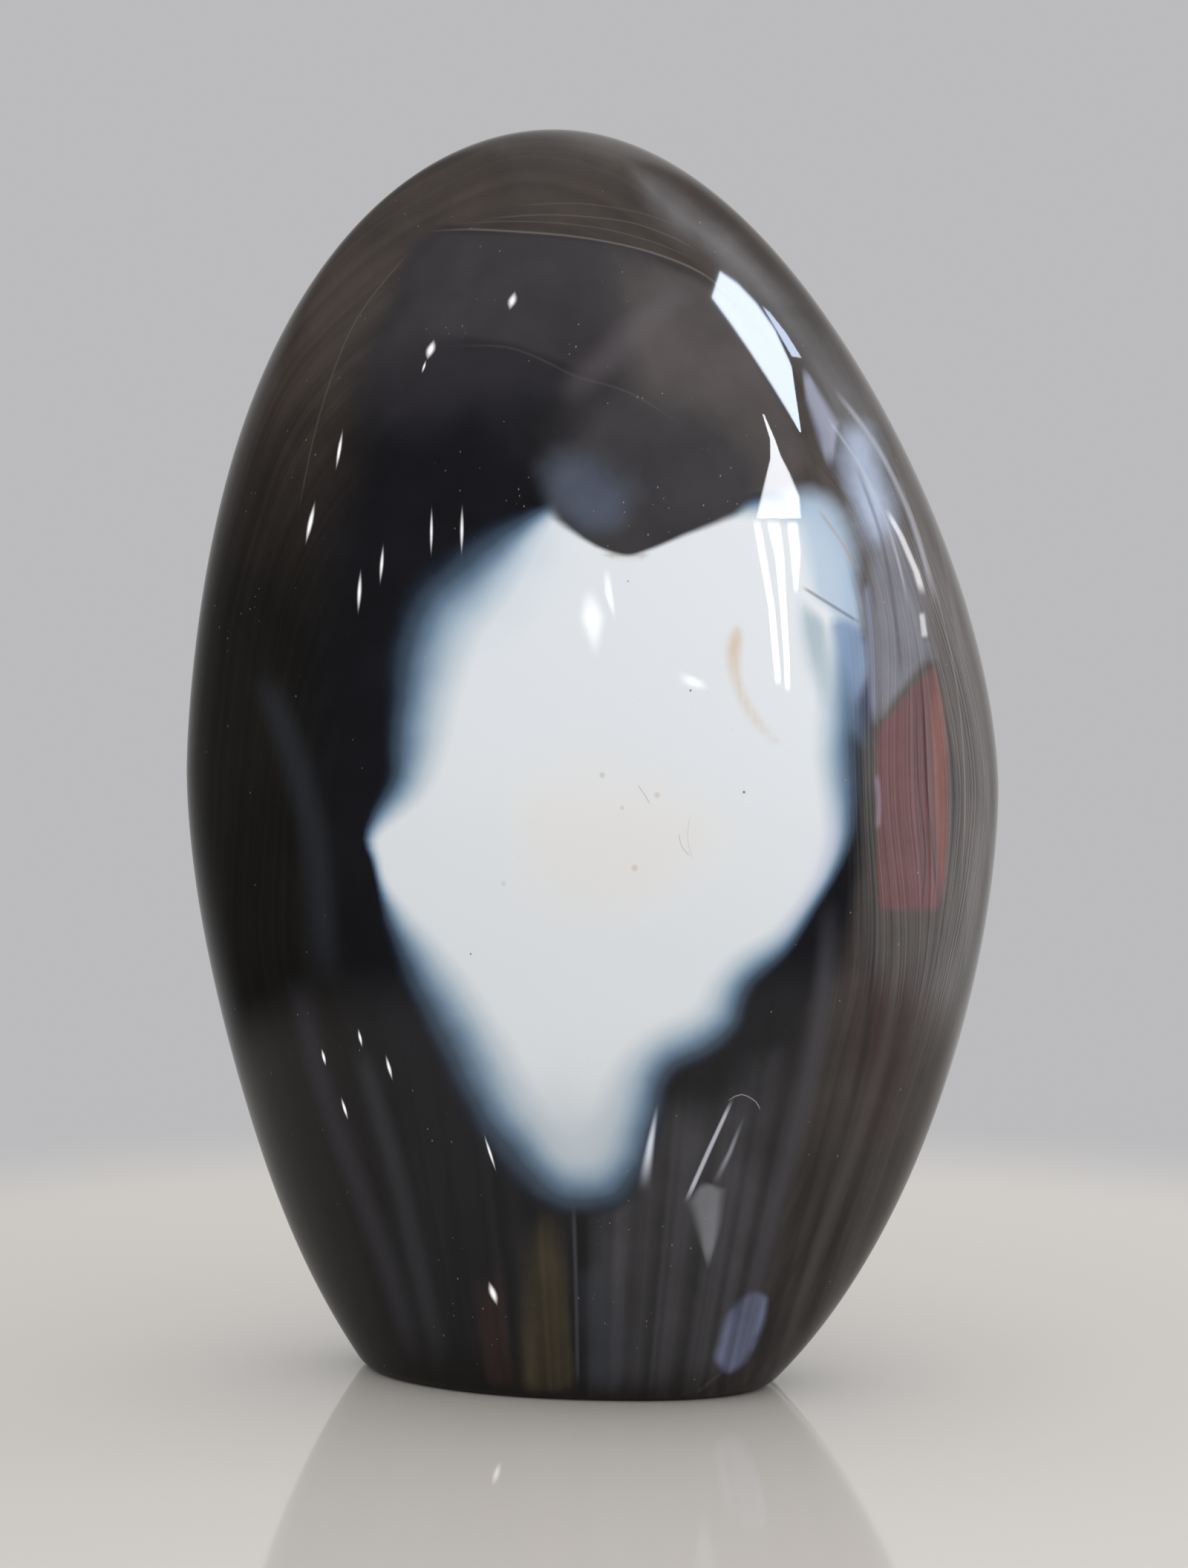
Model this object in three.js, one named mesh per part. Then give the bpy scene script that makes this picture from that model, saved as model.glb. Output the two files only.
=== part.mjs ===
// A polished agate freeform: one solid stone, hand-ground to a leaning, flattened egg with soft
// facets and a small flat cut underneath to stand on. Millimetres, +Z up. The origin is the middle
// of the stone's plan, on the surface that it stands on. Its broad front face looks along -Y.
import * as THREE from "three";

// Driving dimensions of the egg
const height = 110;
const waistHeight = 52.9; // where the stone is widest
const leftWidth = 36.3; // from the middle line to the left end of the waist, facets not counted
const rightWidth = 35.2;
const frontDepth = 24.6; // from the middle line to the front of the waist
const backDepth = 21.5;
const crownPower = 1.67; // 2 is an ellipse and less is more pointed
const bellyPower = 1.7;
const leftReach = 66.2; // how far below the waist each side would close if it weren't cut off
const rightReach = 59.7;
const sectionPower = 2.15; // of a level section: 2 is an ellipse and more is squarer
const crownLean = -3.4; // how far the top sits to the left of the waist
const twistShare = 0.2; // how much nearer the front the right side sits, per millimetre of width
const footEdge = 0.9; // rounding between the side and the flat cut

// The lapidary's soft facets: the way each faces, as degrees round from +X and degrees above the
// horizon, and how far its plane lies from the middle of the waist
const facets = [
  { name: "right flank", around: -40, tilt: 3, reach: 30.9 },
  { name: "right shoulder", around: -54, tilt: 34, reach: 35.6 },
  { name: "left flank", around: 216, tilt: 5, reach: 32.4 },
  { name: "left shoulder", around: 234, tilt: 36, reach: 39.6 },
  { name: "lower left", around: 190, tilt: -16, reach: 38.9 },
  { name: "apron", around: -84, tilt: -18, reach: 29.4 },
  { name: "back left", around: 138, tilt: 9, reach: 31.2 },
  { name: "back right", around: 44, tilt: 6, reach: 29.3 },
  { name: "back shoulder", around: 96, tilt: 40, reach: 38.6 },
  { name: "back skirt", around: 80, tilt: -21, reach: 29.9 },
];
const facetPower = 32; // how crisply the facets meet the egg and each other

// Mesh density
const columns = 72;
const sideRows = 36;
const edgeRows = 3;
const footRows = 3;

const clamp01 = (t) => Math.min(Math.max(t, 0), 1);
const smoothstep = (t) => t * t * (3 - 2 * t);

// Share of the waist's size that the egg has at height z, in the direction around.
function swell(z, around) {
  if (z >= waistHeight) {
    const up = clamp01((z - waistHeight) / (height - waistHeight));
    return Math.sqrt(1 - up ** crownPower);
  }
  const leftShare = Math.sqrt((1 - Math.cos(around)) / 2);
  const reach = THREE.MathUtils.lerp(rightReach, leftReach, leftShare);
  return Math.sqrt(1 - ((waistHeight - z) / reach) ** bellyPower);
}

// Where the middle line stands at height z, measured along X.
function lean(z) {
  return crownLean * smoothstep(clamp01((z - waistHeight) / (height - waistHeight)));
}

// How far the polished surface lies from the middle line at height z, in the direction around.
function radiusAt(z, around) {
  const across = Math.cos(around) / (Math.cos(around) < 0 ? leftWidth : rightWidth);
  const along = Math.sin(around) / (Math.sin(around) < 0 ? frontDepth : backDepth);
  const section =
    (Math.abs(across) ** sectionPower + Math.abs(along) ** sectionPower) ** (1 / sectionPower);
  let sum = (section / Math.max(swell(z, around), 1e-9)) ** facetPower;
  for (const facet of facets) {
    const turn = THREE.MathUtils.degToRad(facet.around);
    const tilt = THREE.MathUtils.degToRad(facet.tilt);
    const facing = Math.cos(tilt) * Math.cos(around - turn);
    if (facing <= 0) continue;
    const sideways = Math.cos(tilt) * Math.cos(turn) * lean(z);
    const gap = facet.reach - Math.sin(tilt) * (z - waistHeight) - sideways;
    sum += (facing / gap) ** facetPower;
  }
  return sum ** (-1 / facetPower);
}

// The point of the surface on a given row and in a given direction, as rows run from the top (0),
// down the side, round the foot's edge and in across the flat cut to its middle.
function surfacePoint(row, around) {
  const side = Math.min(row / sideRows, 1);
  const edge = clamp01((row - sideRows) / edgeRows) * (Math.PI / 2);
  const inward = clamp01((row - sideRows - edgeRows) / footRows);
  const sideHeight = footEdge + ((height - footEdge) * (1 + Math.cos(Math.PI * side))) / 2;
  const z = sideHeight - footEdge * Math.sin(edge);
  const radius = (radiusAt(z, around) - footEdge * (1 - Math.cos(edge))) * (1 - inward);
  const x = Math.cos(around) * radius;
  const y = Math.sin(around) * radius - twistShare * x;
  return new THREE.Vector3(lean(z) + x, y, z);
}

function stoneGeometry() {
  const rows = sideRows + edgeRows + footRows;
  const geometry = new THREE.SphereGeometry(1, columns, rows);
  geometry.rotateX(Math.PI / 2); // the poles go from Y to Z
  const position = geometry.getAttribute("position");
  const direction = new THREE.Vector3();
  for (let i = 0; i < position.count; i++) {
    direction.fromBufferAttribute(position, i);
    const row = Math.round((Math.acos(THREE.MathUtils.clamp(direction.z, -1, 1)) / Math.PI) * rows);
    const point = surfacePoint(row, Math.atan2(direction.y, direction.x));
    position.setXYZ(i, point.x, point.y, point.z);
  }
  geometry.deleteAttribute("uv");
  geometry.computeBoundingBox();
  const middle = geometry.boundingBox.getCenter(new THREE.Vector3());
  geometry.translate(-middle.x, -middle.y, 0);
  geometry.computeVertexNormals();
  return geometry;
}

const polishedAgate = new THREE.MeshStandardMaterial({
  color: "#2c292c",
  roughness: 0.06,
  metalness: 0,
});

const stone = new THREE.Mesh(stoneGeometry(), polishedAgate);
stone.name = "stone";

const agateFreeform = new THREE.Group();
agateFreeform.add(stone);

export default agateFreeform;
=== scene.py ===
import math

import bpy
import numpy as np
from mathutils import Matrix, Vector
from mathutils.bvhtree import BVHTree
from mathutils.interpolate import poly_3d_calc


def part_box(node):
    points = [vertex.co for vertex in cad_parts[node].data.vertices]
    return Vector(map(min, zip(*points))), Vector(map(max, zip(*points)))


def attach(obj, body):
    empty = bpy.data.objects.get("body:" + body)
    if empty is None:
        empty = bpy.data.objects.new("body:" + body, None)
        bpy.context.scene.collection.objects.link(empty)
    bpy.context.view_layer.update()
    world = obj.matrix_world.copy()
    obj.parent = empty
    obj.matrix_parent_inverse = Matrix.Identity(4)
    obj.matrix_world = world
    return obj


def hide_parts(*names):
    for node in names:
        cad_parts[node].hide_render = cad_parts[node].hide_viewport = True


# A polished agate freeform on a pale glossy floor. Everything is in metres; the broad front face
# looks along -Y. Patterns are laid on the stone at places read off the photo, in its own pixels.

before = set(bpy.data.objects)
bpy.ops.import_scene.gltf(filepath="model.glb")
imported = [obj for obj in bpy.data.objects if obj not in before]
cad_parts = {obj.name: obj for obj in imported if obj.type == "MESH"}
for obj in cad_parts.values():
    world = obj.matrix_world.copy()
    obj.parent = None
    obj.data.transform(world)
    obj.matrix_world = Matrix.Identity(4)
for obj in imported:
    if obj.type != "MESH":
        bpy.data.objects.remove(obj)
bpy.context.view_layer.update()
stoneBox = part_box("stone")
stoneHeight = stoneBox[1].z
mm = 0.001


def linear(hexColour):
    # sRGB hex to the linear RGBA that nodes want
    channels = [int(hexColour[i:i + 2], 16) / 255 for i in (1, 3, 5)]
    return [c / 12.92 if c <= 0.04045 else ((c + 0.055) / 1.055) ** 2.4 for c in channels] + [1]


def addNode(tree, kind, inputs=(), **settings):
    # Adds a node. An input, by place or by name, is a node, a socket, a fixed value, or a sum
    # written as ("OPERATION", a, b), which becomes a Math node of its own.
    node = tree.nodes.new(kind)
    for name, value in settings.items():
        setattr(node, name, value)
    live = [socket for socket in node.inputs if socket.enabled]
    for key, value in inputs.items() if isinstance(inputs, dict) else enumerate(inputs):
        socket = live[key] if isinstance(key, int) else next(s for s in live if s.name == key)
        if isinstance(value, tuple) and isinstance(value[0], str):
            value = addNode(tree, "ShaderNodeMath", value[1:], operation=value[0])
        if isinstance(value, bpy.types.Node):
            value = next(s for s in value.outputs if s.enabled)
        if isinstance(value, bpy.types.NodeSocket):
            tree.links.new(value, socket)
        else:
            socket.default_value = value
    return node


# The camera comes first, because the patterns and the lamps are placed through it
view = {
    "wide": 1600,
    "high": 2112,
    "lens": 169.67,  # mm, on a 36 mm sensor along the tall side
    "distance": 0.650,
    "elevation": 7.0,  # degrees above the horizon
    "aim": Vector((0.52, 1.44, 52.6)) * mm,
}
focalPixels = view["lens"] / 36 * view["high"]
slope = math.radians(view["elevation"])
cameraData = bpy.data.cameras.new("camera")
cameraData.lens = view["lens"]
cameraData.sensor_width = 36
camera = bpy.data.objects.new("camera", cameraData)
bpy.context.scene.collection.objects.link(camera)
lookBack = Vector((0, -math.cos(slope), math.sin(slope)))
camera.location = view["aim"] + lookBack * view["distance"]
camera.rotation_euler = (-lookBack).to_track_quat("-Z", "Y").to_euler()
bpy.context.scene.camera = camera
bpy.context.view_layer.update()
print("camera placed")


# The stone is the same ground egg as the solid, much finer.
stoneShape = {
    "Height": stoneHeight,
    "Waist Height": 52.9 * mm,
    "Left Width": 36.3 * mm,
    "Right Width": 35.2 * mm,
    "Front Depth": 24.6 * mm,
    "Back Depth": 21.5 * mm,
    "Crown Power": 1.67,
    "Belly Power": 1.7,
    "Left Reach": 66.2 * mm,
    "Right Reach": 59.7 * mm,
    "Section Power": 2.15,
    "Crown Lean": -3.4 * mm,
    "Twist Share": 0.2,
    "Foot Edge": 0.9 * mm,
    "Facet Power": 32.0,
    "Hand Waver": 0.03 * mm,  # how far hand grinding leaves the surface from true
    "Waver Size": 17 * mm,
}
# Each facet's degrees round from +X and above the horizon, and its distance from the waist's middle
stoneFacets = {
    "Right Flank": (-40, 3, 30.9 * mm),
    "Right Shoulder": (-54, 34, 35.6 * mm),
    "Left Flank": (216, 5, 32.4 * mm),
    "Left Shoulder": (234, 36, 39.6 * mm),
    "Lower Left": (190, -16, 38.9 * mm),
    "Apron": (-84, -18, 29.4 * mm),
    "Back Left": (138, 9, 31.2 * mm),
    "Back Right": (44, 6, 29.3 * mm),
    "Back Shoulder": (96, 40, 38.6 * mm),
    "Back Skirt": (80, -21, 29.9 * mm),
}
stoneGrid = {"columns": 320, "side": 216, "edge": 6, "foot": 8}  # the last three are rows


def stoneTree(material):
    tree = bpy.data.node_groups.new("ground stone", "GeometryNodeTree")
    tree.interface.new_socket("Geometry", in_out="OUTPUT", socket_type="NodeSocketGeometry")
    tree.interface.new_socket("Geometry", in_out="INPUT", socket_type="NodeSocketGeometry")
    for name in [*stoneShape, *(facet + " Reach" for facet in stoneFacets)]:
        tree.interface.new_socket(name, in_out="INPUT", socket_type="NodeSocketFloat")
    given = tree.nodes.new("NodeGroupInput").outputs
    rows = stoneGrid["side"] + stoneGrid["edge"] + stoneGrid["foot"]
    grid = addNode(tree, "GeometryNodeMeshGrid", {
        "Size X": 1.0, "Size Y": 1.0, "Vertices X": stoneGrid["columns"] + 1, "Vertices Y": rows + 1})
    flat = addNode(tree, "ShaderNodeSeparateXYZ", [addNode(tree, "GeometryNodeInputPosition")])
    around = addNode(tree, "ShaderNodeMath", [flat.outputs["X"], 2 * math.pi], operation="MULTIPLY")
    row = addNode(tree, "ShaderNodeMath", [
        ("SUBTRACT", 0.5, flat.outputs["Y"]), rows], operation="MULTIPLY")
    side = ("MINIMUM", ("DIVIDE", row, stoneGrid["side"]), 1)
    edgeRow = ("DIVIDE", ("SUBTRACT", row, stoneGrid["side"]), stoneGrid["edge"])
    footRow = ("DIVIDE", ("SUBTRACT", row, stoneGrid["side"] + stoneGrid["edge"]), stoneGrid["foot"])
    inward = ("MINIMUM", ("MAXIMUM", footRow, 0), 1)
    edge = addNode(tree, "ShaderNodeMath", [
        ("MINIMUM", ("MAXIMUM", edgeRow, 0), 1), math.pi / 2], operation="MULTIPLY")
    rise = ("MULTIPLY", ("ADD", ("COSINE", ("MULTIPLY", side, math.pi)), 1), 0.5)
    sideSpan = ("SUBTRACT", given["Height"], given["Foot Edge"])
    sideHeight = ("ADD", given["Foot Edge"], ("MULTIPLY", sideSpan, rise))
    z = addNode(tree, "ShaderNodeMath", [
        sideHeight, ("MULTIPLY", given["Foot Edge"], ("SINE", edge))], operation="SUBTRACT")
    across = addNode(tree, "ShaderNodeMath", [around], operation="COSINE")
    along = addNode(tree, "ShaderNodeMath", [around], operation="SINE")

    # share of the waist's size at this height
    above = addNode(tree, "ShaderNodeMath", [z, given["Waist Height"]], operation="SUBTRACT")
    crownHeight = ("SUBTRACT", given["Height"], given["Waist Height"])
    up = addNode(tree, "ShaderNodeMath", [
        ("MAXIMUM", ("DIVIDE", above, crownHeight), 0), 1], operation="MINIMUM")
    down = ("MAXIMUM", ("MULTIPLY", above, -1), 0)
    leftShare = ("SQRT", ("MULTIPLY", ("SUBTRACT", 1, across), 0.5))
    longer = ("SUBTRACT", given["Left Reach"], given["Right Reach"])
    reach = ("ADD", given["Right Reach"], ("MULTIPLY", leftShare, longer))
    crown = ("MAXIMUM", ("SUBTRACT", 1, ("POWER", up, given["Crown Power"])), 0)
    belly = ("SUBTRACT", 1, ("POWER", ("DIVIDE", down, reach), given["Belly Power"]))
    swell = addNode(tree, "ShaderNodeMath", [("MULTIPLY", crown, belly)], operation="SQRT")
    eased = ("MULTIPLY", ("MULTIPLY", up, up), ("SUBTRACT", 3, ("MULTIPLY", up, 2)))
    lean = addNode(tree, "ShaderNodeMath", [given["Crown Lean"], eased], operation="MULTIPLY")

    # the egg's level section, then each facet's plane, joined by a high power so they meet softly
    wider = ("SUBTRACT", given["Left Width"], given["Right Width"])
    deeper = ("SUBTRACT", given["Front Depth"], given["Back Depth"])
    width = ("ADD", given["Right Width"], ("MULTIPLY", ("LESS_THAN", across, 0), wider))
    depth = ("ADD", given["Back Depth"], ("MULTIPLY", ("LESS_THAN", along, 0), deeper))
    ends = ("POWER", ("ABSOLUTE", ("DIVIDE", across, width)), given["Section Power"])
    faces = ("POWER", ("ABSOLUTE", ("DIVIDE", along, depth)), given["Section Power"])
    section = ("POWER", ("ADD", ends, faces), ("DIVIDE", 1, given["Section Power"]))
    unit = stoneShape["Right Width"]  # keeps the high powers near one
    total = ("POWER", ("MULTIPLY", section, unit), given["Facet Power"])
    for name, (turn, tilt, _) in stoneFacets.items():
        turn, tilt = math.radians(turn), math.radians(tilt)
        turned = ("COSINE", ("SUBTRACT", around, turn))
        facing = ("MAXIMUM", ("MULTIPLY", turned, math.cos(tilt)), 0)
        level = ("SUBTRACT", given[name + " Reach"], ("MULTIPLY", above, math.sin(tilt)))
        gap = ("SUBTRACT", level, ("MULTIPLY", lean, math.cos(tilt) * math.cos(turn)))
        share = ("DIVIDE", ("MULTIPLY", ("MULTIPLY", facing, unit), swell), gap)
        total = addNode(tree, "ShaderNodeMath", [
            total, ("POWER", share, given["Facet Power"])], operation="ADD")
    closest = ("POWER", total, ("DIVIDE", -1, given["Facet Power"]))
    radius = ("MULTIPLY", ("MULTIPLY", swell, unit), closest)
    wavePlace = addNode(tree, "ShaderNodeCombineXYZ", [
        ("MULTIPLY", across, 0.03), ("MULTIPLY", along, 0.03), z])
    wave = addNode(tree, "ShaderNodeTexNoise", {
        "Vector": wavePlace, "Scale": ("DIVIDE", 1, given["Waver Size"]), "Detail": 1.0})
    waver = ("MULTIPLY", ("SUBTRACT", wave.outputs["Fac"], 0.5), ("MULTIPLY", given["Hand Waver"], 2))
    rounding = ("MULTIPLY", given["Foot Edge"], ("SUBTRACT", 1, ("COSINE", edge)))
    rounded = ("SUBTRACT", ("ADD", radius, ("MULTIPLY", waver, swell)), rounding)
    reachOut = addNode(tree, "ShaderNodeMath", [rounded, ("SUBTRACT", 1, inward)], operation="MULTIPLY")
    x = addNode(tree, "ShaderNodeMath", [across, reachOut], operation="MULTIPLY")
    y = ("SUBTRACT", ("MULTIPLY", along, reachOut), ("MULTIPLY", x, given["Twist Share"]))
    place = addNode(tree, "ShaderNodeCombineXYZ", [("ADD", lean, x), y, z])

    shaped = addNode(tree, "GeometryNodeSetPosition", {"Geometry": grid, "Position": place})
    closed = addNode(tree, "GeometryNodeMergeByDistance", {"Geometry": shaped, "Distance": 0.004 * mm})
    box = addNode(tree, "GeometryNodeBoundBox", [closed])
    middle = addNode(tree, "ShaderNodeVectorMath", [
        box.outputs["Min"], box.outputs["Max"]], operation="ADD")
    back = addNode(tree, "ShaderNodeVectorMath", [middle, (-0.5, -0.5, 0)], operation="MULTIPLY")
    centred = addNode(tree, "GeometryNodeSetPosition", {"Geometry": closed, "Offset": back})
    smooth = addNode(tree, "GeometryNodeSetShadeSmooth", {"Geometry": centred, "Shade Smooth": True})
    whole = addNode(tree, "GeometryNodeRealizeInstances", [smooth])
    finished = addNode(tree, "GeometryNodeSetMaterial", {"Geometry": whole, "Material": material})
    output = tree.nodes.new("NodeGroupOutput")
    tree.links.new(finished.outputs[0], output.inputs[0])
    return tree


def makeStone(material):
    tree = stoneTree(material)
    holder = bpy.data.objects.new("stoneHolder", bpy.data.meshes.new("stoneHolder"))
    bpy.context.scene.collection.objects.link(holder)
    modifier = holder.modifiers.new("ground stone", "NODES")
    modifier.node_group = tree
    reaches = {facet + " Reach": reach for facet, (_, _, reach) in stoneFacets.items()}
    values = {**stoneShape, **reaches}
    for item in tree.interface.items_tree:
        if item.in_out == "INPUT" and item.name in values:
            modifier[item.identifier] = values[item.name]
    bpy.context.view_layer.update()
    graph = bpy.context.evaluated_depsgraph_get()
    mesh = bpy.data.meshes.new_from_object(holder.evaluated_get(graph))
    mesh.name = "polishedStone"
    bpy.data.objects.remove(holder)
    stone = bpy.data.objects.new("polishedStone", mesh)
    bpy.context.scene.collection.objects.link(stone)
    return stone


# Banded chalcedony, ground by hand and buffed on felt. The eye gets a glassy, near-mirror gloss
# over dark layers, and a soft white cloud whose thin edges look blue.
agate = bpy.data.materials.new("polished banded chalcedony")
stone = makeStone(agate)
print("stone made:", len(stone.data.polygons), "faces")

surface = BVHTree.FromPolygons(
    [v.co for v in stone.data.vertices], [p.vertices for p in stone.data.polygons])


def stoneUnder(pixel):
    # the point of the stone seen at a pixel of the photo, its normal and the ray that meets it
    px, py = pixel
    ray = Vector(((px - view["wide"] / 2) / focalPixels, (view["high"] / 2 - py) / focalPixels, -1))
    ray = (camera.matrix_world.to_3x3() @ ray).normalized()
    point, _, face, _ = surface.ray_cast(camera.location, ray)
    if point is None:
        raise ValueError(f"pixel {pixel} misses the stone")
    corners = stone.data.polygons[face].vertices
    weights = poly_3d_calc([stone.data.vertices[i].co for i in corners], point)
    normal = sum((stone.data.vertices[i].normal * w for i, w in zip(corners, weights)), Vector())
    return point, normal.normalized(), ray


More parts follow.
